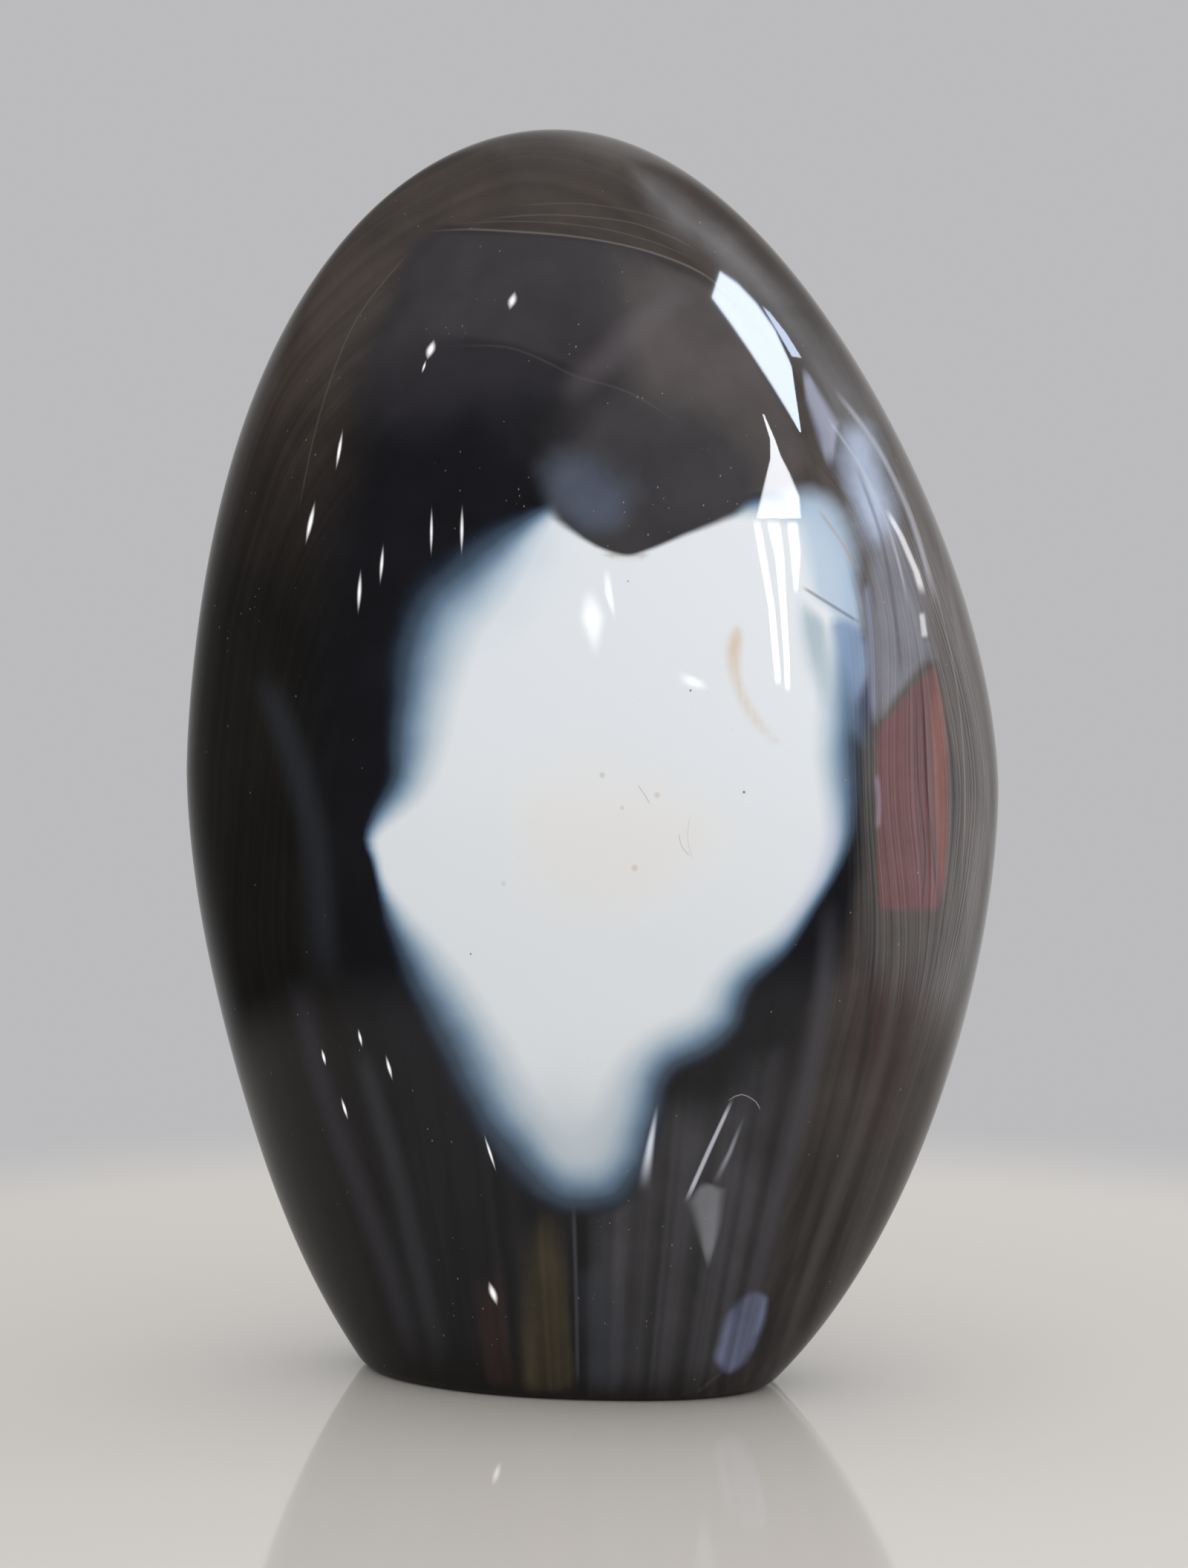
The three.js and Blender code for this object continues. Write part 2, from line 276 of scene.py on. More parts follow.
# The patches of colour in the stone, laid one over the other in this order. An outline's points
# are pixels, and how many millimetres inside it the patch takes to reach its full colour. "cover"
# is its strength, "wander" how unevenly it starts, and "within" a patch that it stays inside.
stonePatches = {
    "greyShoulder": {"colour": "#6e6d6f", "cover": 0.8, "wander": 0.3, "outline": [
        (840, 215, 3), (960, 270, 3), (1080, 390, 3), (1190, 560, 2.5), (1170, 640, 3), (1110, 600, 4),
        (1040, 470, 4), (960, 372, 3), (880, 318, 4)]},
    "heart": {"colour": "#151519", "cover": 1.0, "wander": 0.3, "outline": [
        (581, 303, 1.5), (650, 307, 0.6), (740, 314, 0.6), (820, 325, 0.6), (890, 343, 0.6),
        (950, 370, 0.8), (1000, 415, 1.0), (1050, 500, 2.5), (1105, 620, 4), (1150, 760, 3),
        (1166, 900, 2), (1174, 1050, 1.5), (1174, 1230, 2.5), (1150, 1400, 7), (1080, 1650, 9),
        (1030, 1850, 5), (560, 1840, 7), (440, 1560, 9), (390, 1300, 9), (366, 1100, 9), (366, 900, 8),
        (392, 720, 7), (440, 540, 6), (500, 400, 5)]},
    "heartTop": {"colour": "#262428", "cover": 1.0, "wander": 0.4, "outline": [
        (560, 310, 3), (740, 314, 1), (900, 350, 2), (980, 520, 6), (900, 660, 7), (760, 640, 9),
        (620, 620, 10), (500, 640, 9), (450, 560, 6), (500, 400, 5)]},
    # partly the stone's own grey, partly a painted reflection: it lightens the foot where the tabletop is
    # mirrored in the lower stone
    "footShade": {"colour": "#3a393c", "cover": 0.9, "wander": 0.5, "outline": [
        (780, 1480, 8), (960, 1420, 8), (1080, 1400, 7), (1060, 1640, 5), (1010, 1850, 4),
        (790, 1872, 4), (775, 1700, 4)]},
    "crownVeil": {"colour": "#333034", "cover": 0.95, "wander": 0.3, "outline": [
        (575, 306, 2), (650, 308, 0.6), (740, 314, 0.6), (820, 325, 0.6), (890, 343, 0.8),
        (950, 370, 4), (900, 480, 7), (850, 520, 3), (782, 506, 1), (735, 486, 0.8), (680, 467, 0.8),
        (614, 464, 1.2), (560, 490, 5), (500, 500, 7), (505, 400, 6)]},
    "brownSide": {"colour": "#4b4645", "cover": 1.0, "wander": 0.3, "outline": [
        (810, 323, 7), (890, 343, 2), (950, 370, 1), (1000, 415, 1), (1050, 500, 2), (1100, 612, 2),
        (1080, 700, 3), (960, 730, 6), (870, 690, 9), (800, 560, 9), (790, 440, 9)]},
    "white": {"colour": "#dddddd", "cover": 1.0, "wander": 0.10, "outline": [
        (728, 676, 3), (664, 694, 8), (596, 728, 12), (542, 776, 13), (514, 860, 10), (508, 960, 8),
        (514, 1040, 5), (487, 1120, 1.8), (498, 1165, 1.1), (506, 1205, 1.4), (511, 1250, 4),
        (525, 1305, 7), (547, 1360, 8), (575, 1422, 8.5), (609, 1490, 9), (656, 1566, 9),
        (700, 1620, 9), (765, 1650, 9), (836, 1636, 8), (880, 1588, 7), (900, 1520, 6.6),
        (916, 1458, 5.4), (962, 1432, 5.8), (1006, 1392, 5.4), (1026, 1334, 4.8), (1066, 1290, 3),
        (1102, 1232, 2.2), (1132, 1182, 2.2), (1154, 1134, 3), (1168, 1071, 5), (1170, 1000, 6),
        (1168, 920, 5), (1163, 838, 3), (1156, 760, 2.6), (1140, 696, 4), (1104, 660, 4),
        (1050, 656, 3.4), (1000, 664, 2.4), (940, 686, 1.2), (880, 708, 0.8), (800, 700, 0.8),
        (760, 674, 1)]},
    "coolCorner": {"colour": "#b9c8d6", "cover": 0.7, "wander": 0.3, "within": "white", "outline": [
        (500, 760, 5), (600, 680, 5), (745, 650, 6), (800, 760, 10), (745, 850, 9), (660, 900, 8),
        (560, 940, 8), (480, 960, 6)]},
    "coolFoot": {"colour": "#b9c4cc", "cover": 0.75, "wander": 0.3, "within": "white", "outline": [
        (570, 1370, 8), (700, 1420, 12), (800, 1420, 12), (920, 1400, 8), (900, 1580, 5),
        (780, 1650, 6), (670, 1610, 6)]},
    "warmMiddle": {"colour": "#dedcda", "cover": 0.9, "wander": 0.4, "within": "white", "outline": [
        (640, 1060, 8), (760, 980, 9), (920, 1000, 9), (1040, 1080, 9), (1010, 1200, 9), (860, 1290, 9),
        (700, 1260, 9)]},
    "mauveRim": {"colour": "#c8c4dc", "cover": 0.75, "wander": 0.3, "within": "white", "outline": [
        (1110, 1060, 5), (1180, 1040, 2), (1168, 1140, 1.2), (1110, 1250, 1.2), (1050, 1310, 1.4),
        (1030, 1270, 4), (1080, 1170, 4)]},
    "blueShoulder": {"colour": "#aebfd2", "cover": 0.85, "wander": 0.4, "outline": [
        (1034, 656, 3), (1100, 642, 2), (1154, 684, 2.4), (1172, 800, 2.2), (1164, 864, 1.4),
        (1118, 830, 0.8), (1084, 804, 1.6), (1060, 740, 3)]},
    "greenMist": {"colour": "#a0b1bb", "cover": 0.85, "wander": 0.2, "outline": [
        (1068, 800, 2), (1110, 826, 1), (1124, 870, 1.2), (1128, 930, 2), (1104, 960, 3),
        (1076, 900, 2.4)]},
    "deepBlue": {"colour": "#7f94b2", "cover": 0.85, "wander": 0.3, "outline": [
        (1116, 828, 1), (1168, 850, 1), (1174, 940, 1), (1172, 1010, 3), (1150, 1010, 3),
        (1130, 960, 3), (1116, 890, 2)]},
    "inkBlue": {"colour": "#232c42", "cover": 0.95, "wander": 0.2, "outline": [
        (1144, 945, 1.6), (1180, 900, 1.2), (1180, 1010, 1.6), (1170, 1070, 1.6), (1156, 1020, 1.6)]},
    "tanArc": {"colour": "#cdb89e", "cover": 0.8, "wander": 0.2, "outline": [
        (988, 838, 1), (1006, 852, 1), (1002, 900, 1.1), (1018, 945, 1.2), (1050, 990, 1.2),
        (1070, 1012, 1), (1040, 1008, 1.2), (1004, 974, 1.4), (980, 926, 1.4), (972, 874, 1.2)]},
    "lobe": {"colour": "#393739", "cover": 1.0, "wander": 0.04, "outline": [
        (712, 664, 4), (733, 696, 1.2), (771, 723, 0.7), (806, 742, 0.5), (845, 753, 0.5),
        (880, 743, 0.5), (925, 725, 0.6), (974, 708, 0.8), (1006, 694, 1.2), (1050, 660, 4),
        (1050, 580, 8), (980, 500, 9), (880, 470, 9), (780, 490, 8), (725, 560, 7), (702, 620, 5)]},
    "lobeHaze": {"colour": "#515868", "cover": 0.8, "wander": 0.5, "outline": [
        (716, 640, 3.5), (740, 590, 3.5), (800, 590, 4), (870, 650, 4), (860, 720, 3.5), (800, 738, 3),
        (742, 700, 2.6)]},
    "notch": {"colour": "#7d6645", "cover": 0.6, "wander": 0.05, "outline": [
        (794, 730, 0.7), (845, 744, 0.7), (890, 734, 0.7), (878, 750, 0.7), (845, 761, 0.7),
        (808, 749, 0.7)]},
    "periwinkle": {"colour": "#a1adc4", "cover": 0.95, "wander": 0.5, "outline": [
        (1108, 610, 3), (1132, 560, 3), (1176, 560, 2.5), (1212, 620, 2.5), (1222, 690, 3),
        (1204, 760, 3.5), (1160, 750, 4), (1130, 700, 3)]},
    "mauveBand": {"colour": "#6e6e77", "cover": 0.9, "wander": 0.3, "outline": [
        (1160, 740, 2), (1210, 700, 3), (1250, 760, 3), (1270, 850, 3), (1276, 900, 2), (1250, 900, 1),
        (1218, 935, 1), (1182, 975, 1), (1172, 900, 1), (1166, 820, 1)]},
    "redBrown": {"colour": "#624042", "cover": 1.0, "wander": 0.1, "outline": [
        (1178, 994, 0.5), (1192, 965, 0.7), (1218, 931, 0.8), (1250, 897, 0.8), (1262, 896, 0.8),
        (1274, 952, 0.8), (1281, 1050, 0.8), (1279, 1150, 0.8), (1270, 1226, 1), (1225, 1231, 0.8),
        (1184, 1228, 0.8), (1178, 1200, 0.5), (1177, 1100, 0.5)]},
    "orangeEdge": {"colour": "#7b4f49", "cover": 0.9, "wander": 0.2, "outline": [
        (1252, 900, 0.8), (1264, 898, 0.8), (1276, 960, 0.8), (1282, 1050, 0.8), (1280, 1150, 0.8),
        (1270, 1224, 1), (1262, 1180, 0.5), (1256, 1080, 0.5), (1252, 980, 0.5)]},
    "lowBrown": {"colour": "#38282a", "cover": 0.9, "wander": 0.5, "outline": [
        (1140, 1320, 5), (1200, 1290, 5), (1260, 1320, 4), (1250, 1420, 4), (1205, 1540, 5),
        (1150, 1550, 6), (1126, 1440, 5)]},
    "olive": {"colour": "#3f3828", "cover": 0.85, "wander": 0.4, "outline": [
        (692, 1650, 4), (735, 1615, 4), (768, 1650, 2), (772, 1760, 1), (774, 1872, 1), (690, 1870, 2),
        (688, 1760, 3)]},
    "umber": {"colour": "#30211f", "cover": 0.8, "wander": 0.4, "outline": [
        (636, 1730, 3), (684, 1690, 3), (692, 1790, 1.4), (692, 1868, 1.4), (648, 1864, 1.6),
        (636, 1800, 2)]},
    "lavender": {"colour": "#6d7592", "cover": 0.8, "wander": 0.9, "outline": [
        (986, 1752, 1), (1016, 1733, 0.8), (1040, 1748, 0.8), (1032, 1790, 1), (1008, 1836, 1),
        (978, 1854, 0.8), (958, 1828, 1.2), (968, 1790, 1.2)]},
}
# Where dust has settled thickest, outlined in the same way
stoneDust = {
    "lobeDust": [
        (790, 690, 2), (860, 650, 2), (1000, 600, 2), (1012, 690, 1), (930, 716, 1), (845, 742, 1)],
    "leftDust": [
        (540, 480, 2), (580, 420, 2), (650, 370, 2), (720, 350, 2), (680, 420, 2), (600, 490, 2)],
    "middleDust": [(740, 500, 2), (770, 420, 2), (830, 440, 2), (800, 500, 2)],
    "patchDust": [(640, 690, 2), (680, 640, 2), (740, 660, 2), (730, 690, 1), (660, 715, 1)],
    "footDust": [(790, 1760, 1), (815, 1690, 1), (840, 1760, 1), (820, 1830, 1)],
    "lowDust": [(760, 1640, 2), (860, 1600, 2), (930, 1680, 2), (850, 1700, 2)],
}
# Stone lines and painted highlights: a path in pixels, then half its width in millimetres, colour and
# strength
stoneLinesAndGleams = {
    "growthMain": ([(570, 312), (640, 309), (740, 315), (820, 326), (890, 344), (950, 371), (1000, 414)],
        0.14, "#857e79", 0.38),
    "growthUpper": ([(640, 296), (733, 289), (836, 297), (900, 317), (940, 338)],
        0.10, "#857e79", 0.18),
    "growthNext": ([(600, 302), (700, 298), (800, 306), (880, 326), (940, 352)],
        0.10, "#857e79", 0.14),
    "growthTop": ([(690, 277), (780, 274), (860, 286), (910, 304)], 0.10, "#857e79", 0.12),
    "growthLeft": ([(560, 330), (480, 430), (430, 560), (400, 700)], 0.10, "#77716c", 0.22),
    "innerArc": ([(600, 466), (679, 467), (733, 486), (776, 507), (850, 530), (930, 580)],
        0.16, "#77716c", 0.12),
    # painted highlight: a soft gleam of light across the dark heart
    "softGleam": ([(930, 376), (880, 424), (820, 480), (750, 545)], 2.2, "#5e585c", 0.35),
    "crackDark": ([(1078, 789), (1118, 814), (1160, 840)], 0.24, "#3a3638", 0.55),
    "ochreArc": ([(1100, 684), (1132, 728), (1150, 764)], 0.22, "#a3927a", 0.55),
    "paleStrip": ([(1166, 780), (1172, 860), (1178, 985)], 0.55, "#868ea8", 0.55),
    "redLineLeft": ([(1234, 915), (1236, 1043), (1246, 1150), (1240, 1235)], 0.16, "#33262a", 0.75),
    "redLineRight": ([(1243, 905), (1247, 1043), (1256, 1141), (1262, 1215)],
        0.16, "#33262a", 0.75),
    # painted highlight: a sheen along the red patch's edge
    "redSheen": ([(1180, 1040), (1184, 1080), (1182, 1120)], 0.4, "#8c8291", 0.5),
    "flankDark": ([(1172, 990), (1174, 1120), (1176, 1240), (1166, 1400), (1120, 1600)],
        0.6, "#1a191d", 0.5),
    # painted highlights: light glancing along the right flank, in two streaks
    "flankGleam": ([(1120, 520), (1180, 600), (1228, 700), (1262, 820)], 0.35, "#a9abb8", 0.55),
    "flankGleamInner": ([(1112, 560), (1160, 630), (1200, 720), (1226, 830)], 0.2, "#b4b6c0", 0.45),
    "flankDusk": ([(1150, 620), (1186, 720), (1206, 830), (1216, 930)], 0.3, "#3c3a44", 0.5),
    "flankFine": ([(1196, 600), (1250, 760), (1288, 920), (1300, 1080), (1290, 1240)],
        0.12, "#a09c9c", 0.25),
    "leftCurve": ([(350, 900), (392, 1010), (425, 1141), (440, 1351)], 2.2, "#30343b", 0.45),
    "leftFan": ([(395, 1300), (440, 1480), (520, 1700), (560, 1840)], 1.8, "#33323a", 0.5),
    "leftFanInner": ([(480, 1400), (540, 1600), (600, 1860)], 1.5, "#34353b", 0.5),
    "footLight": ([(772, 1615), (776, 1740), (778, 1874)], 0.3, "#4d4f55", 0.55),
    "footDark": ([(600, 1560), (618, 1740), (628, 1874)], 0.7, "#0f0f12", 0.6),
    "footSlate": ([(800, 1700), (812, 1800), (812, 1874)], 2.6, "#333842", 0.55),
    "rightFan": ([(1120, 1200), (1100, 1400), (1040, 1640), (985, 1860)], 1.4, "#4a4950", 0.5),
    "rightFanOuter": ([(1210, 1240), (1190, 1420), (1110, 1660), (1040, 1850)],
        1.0, "#4a4643", 0.5),
    "hairArc": ([(978, 1484), (998, 1474), (1018, 1484), (1024, 1496)], 0.07, "#b5b5ba", 0.6),
    "scratchUpper": ([(858, 1056), (868, 1070), (876, 1084)], 0.05, "#6d6560", 0.6),
    "scratchLower": ([(914, 1122), (918, 1140), (930, 1154)], 0.05, "#6d6560", 0.55),
    "scratchFaint": ([(930, 1095), (926, 1130), (934, 1160)], 0.05, "#a49c96", 0.4),
}
# Rust flecks and pinprick pits: a pixel, a radius in millimetres, a colour and a strength
stoneFlecks = [
    ((811, 1044), 0.34, "#b08a6c", 0.34), ((885, 1071), 0.36, "#b9957a", 0.34),
    ((855, 1169), 0.42, "#ba977c", 0.34), ((678, 1190), 0.38, "#bfa186", 0.3),
    ((838, 1088), 0.26, "#c0a48c", 0.35), ((634, 1285), 0.13, "#4c4a4a", 0.8),
    ((1002, 1067), 0.13, "#4c4a4a", 0.8), ((930, 930), 0.14, "#3c3a3a", 0.85),
    ((846, 783), 0.12, "#6a6460", 0.7),
]
whiteDepth = {  # thin white over dark shows blue, so its colour runs through these as it thickens
    0.0: "#14151b",
    0.12: "#212936",
    0.26: "#3d4b5b",
    0.4: "#667c92",
    0.55: "#93a6b7",
    0.7: "#b7c3cd",
    0.86: "#cdd4da",
    1.0: "#dadee2",
}
stoneColours = {
    "left": "#171513",
    # the flank and crown tones are lighter partly as painted light: light from the right, and the ceiling
    # mirrored in the crown
    "flank": "#4b4543",
    "crown": "#39322f",
    "paleBand": "#84919d",
    "speck": "#b4aea6",
}
stoneGrain = {  # sizes in mm
    "wanderSize": 7,
    "cloudSize": 9,
    "nestMiddle": (-4, -14, 50),  # the middle of the nodule that the layers close round
    "nestSquash": (1.25, 1.0, 0.72),
    "nestWarp": 6,
    "warpSize": 28.57,
    "bandGap": 1.1,
    "broadGap": 7.14,
    "paleBands": [(44.5, 1.0, 0.6), (48.5, 0.4, 0.4), (41.0, 0.4, 0.3)],  # radius, half, strength
    "driftSize": 7.69,
    "speckCell": 0.42,
    "speckRadius": 0.06,  # dust is finer still, but then it would not show
    "speckStrength": 0.38,
    "fanFoot": 62,  # how far below the floor the foot's streaks would meet
    "fanStreaks": 9,
}
stonePolish = {"ior": 1.54, "roughness": 0.014, "dustRoughness": 0.35}


def curvedLine(pixels, closed, steps=6):
    # a smooth line through pixels, laid on the stone as x and z in millimetres. A third value
    # of the points is kept, and runs smoothly too.
    places = []
    for px, py, *rest in pixels:
        at = stoneUnder((px, py))[0] / mm
        places.append(np.array((at.x, at.z, *rest)))
    count = len(places)
    line = []
    for i in range(count if closed else count - 1):
        four = [(i + k) % count if closed else min(max(i + k, 0), count - 1) for k in (-1, 0, 1, 2)]
        a, b, c, d = (places[k] for k in four)
        for t in np.arange(steps) / steps:
            line.append(b + t / 2 * (c - a + t * (2 * a - 5 * b + 4 * c - d + t * (3 * (b - c) + d - a))))
    line.append(places[0] if closed else places[-1])
    return np.array(line)


def storeValue(name, values):
    attribute = stone.data.attributes.new(name, "FLOAT", "POINT")
    attribute.data.foreach_set("value", values.astype(np.float32))


def storeOutline(name, pixels):
    # how far inside an outline each vertex is, as a share of the softness of the edge near it
    line = curvedLine(pixels, closed=True)
    best = np.full(len(vertexX), np.inf)
    softness, weights = np.zeros(len(vertexX)), np.zeros(len(vertexX))
    inside = np.zeros(len(vertexX), bool)
    for start, end in zip(line, line[1:]):
        step = end - start
        share = ((vertexX - start[0]) * step[0] + (vertexZ - start[1]) * step[1]) / (step[:2] @ step[:2])
        share = np.clip(share, 0, 1)
        far = np.hypot(vertexX - start[0] - share * step[0], vertexZ - start[1] - share * step[1])
        best = np.minimum(best, far)
        weight = 1 / (far ** 3 + 0.05)
        softness += weight * (start[2] + share * step[2])
        weights += weight
        crosses = (start[1] > vertexZ) != (end[1] > vertexZ)
        crossing = start[0] + (vertexZ - start[1]) * step[0] / (step[1] or 1)
        inside ^= crosses & (vertexX < crossing)
    storeValue(name, np.where(inside, best, -best) * weights / softness)


def storePath(name, pixels):
    # how far each vertex is to one side of a path, and what share of its length along
    line = curvedLine(pixels, closed=False, steps=4)
    best = np.full(len(vertexX), np.inf)
    side = np.zeros(len(vertexX))
    along = np.zeros(len(vertexX))
    spans = len(line) - 1
    for i, (start, end) in enumerate(zip(line, line[1:])):
        step = end - start
        offX, offZ = vertexX - start[0], vertexZ - start[1]
        share = (offX * step[0] + offZ * step[1]) / (step @ step)
        share = np.clip(share, None if i == 0 else 0, None if i == spans - 1 else 1)
        far = np.hypot(offX - share * step[0], offZ - share * step[1])
        closer = far < best
        best = np.where(closer, far, best)
        side = np.where(closer, (offX * step[1] - offZ * step[0]) / np.hypot(*step), side)
        along = np.where(closer, (i + share) / spans, along)
    storeValue(name + " side", side)
    storeValue(name + " along", along)


vertexX = np.array([v.co.x for v in stone.data.vertices]) / mm
vertexZ = np.array([v.co.z for v in stone.data.vertices]) / mm
for name, patch in stonePatches.items():
    storeOutline(name, patch["outline"])
for name, outline in stoneDust.items():
    storeOutline(name, outline)
for name, (path, *_) in stoneLinesAndGleams.items():
    storePath(name, path)
print("patches and lines stored")


def stored(tree, name):
    return addNode(tree, "ShaderNodeAttribute", attribute_name=name).outputs["Fac"]


def ramp(tree, value, low, high, toLow=0.0, toHigh=1.0):
    return addNode(tree, "ShaderNodeMapRange", {
        "Value": value, "From Min": low, "From Max": high, "To Min": toLow, "To Max": toHigh},
        interpolation_type="SMOOTHSTEP")


def blend(tree, share, under, over):
    return addNode(tree, "ShaderNodeMix", {"Factor": share, "A": under, "B": over}, data_type="RGBA")


def groundColour(tree, place, x, y, z):
    # the nodule's own nested layers, seen on the sides, the crown and the back, over a ground that is
    # partly painted light: lighter to the right and on the crown
    nest = addNode(tree, "ShaderNodeVectorMath", [place, stoneGrain["nestMiddle"]], operation="SUBTRACT")
    warp = addNode(tree, "ShaderNodeTexNoise", {
        "Vector": place, "Scale": 1 / stoneGrain["warpSize"], "Detail": 1.0})
    warped = [warp.outputs["Color"], (stoneGrain["nestWarp"],) * 3, nest]
    nest = addNode(tree, "ShaderNodeVectorMath", warped, operation="MULTIPLY_ADD")
    nest = addNode(tree, "ShaderNodeVectorMath", [nest, stoneGrain["nestSquash"]], operation="MULTIPLY")
    layers = addNode(tree, "ShaderNodeVectorMath", [nest], operation="LENGTH").outputs["Value"]
    bands = addNode(tree, "ShaderNodeTexNoise", {
        "W": ("DIVIDE", layers, stoneGrain["bandGap"]), "Detail": 3.0}, noise_dimensions="1D")
    broad = addNode(tree, "ShaderNodeTexNoise", {
        "W": ("DIVIDE", layers, stoneGrain["broadGap"]), "Detail": 2.0}, noise_dimensions="1D")
    left, flank = linear(stoneColours["left"]), linear(stoneColours["flank"])
    # painted light in part: the ground grows lighter towards the right flank, for light from the right
    # shining through and glancing off that side
    ground = blend(tree, ramp(tree, x, -14, 28), left, flank)
    # painted reflection in part: the crown is lighter, for the ceiling mirrored in it
    ground = blend(tree, ramp(tree, z, 66, 96), ground, linear(stoneColours["crown"]))
    dimmed = ramp(tree, z, 54, 16, 1, 0.45)  # darker towards the foot
    toSides = ramp(tree, ("ADD", ("ABSOLUTE", x), ("MAXIMUM", y, 0)), 12, 30, 0.2, 0.8)
    fine = ("MULTIPLY", ramp(tree, bands, 0.3, 0.7, -0.13, 0.13), toSides)
    wide = ramp(tree, broad, 0.3, 0.7, -0.14, 0.14)
    tone = ("MULTIPLY", dimmed, ("ADD", 1, ("ADD", fine, wide)))
    ground = addNode(tree, "ShaderNodeVectorMath", {"Vector": ground, "Scale": tone}, operation="SCALE")
    # pale bands show on the back, where those layers come to the surface
    for radius, halfWidth, strength in stoneGrain["paleBands"]:
        off = ("ABSOLUTE", ("SUBTRACT", layers, radius))
        behind = ramp(tree, y, 4, 12, 0, strength)
        share = ("MULTIPLY", ramp(tree, off, halfWidth, halfWidth * 0.2), behind)
        ground = blend(tree, share, ground, linear(stoneColours["paleBand"]))
    return ground


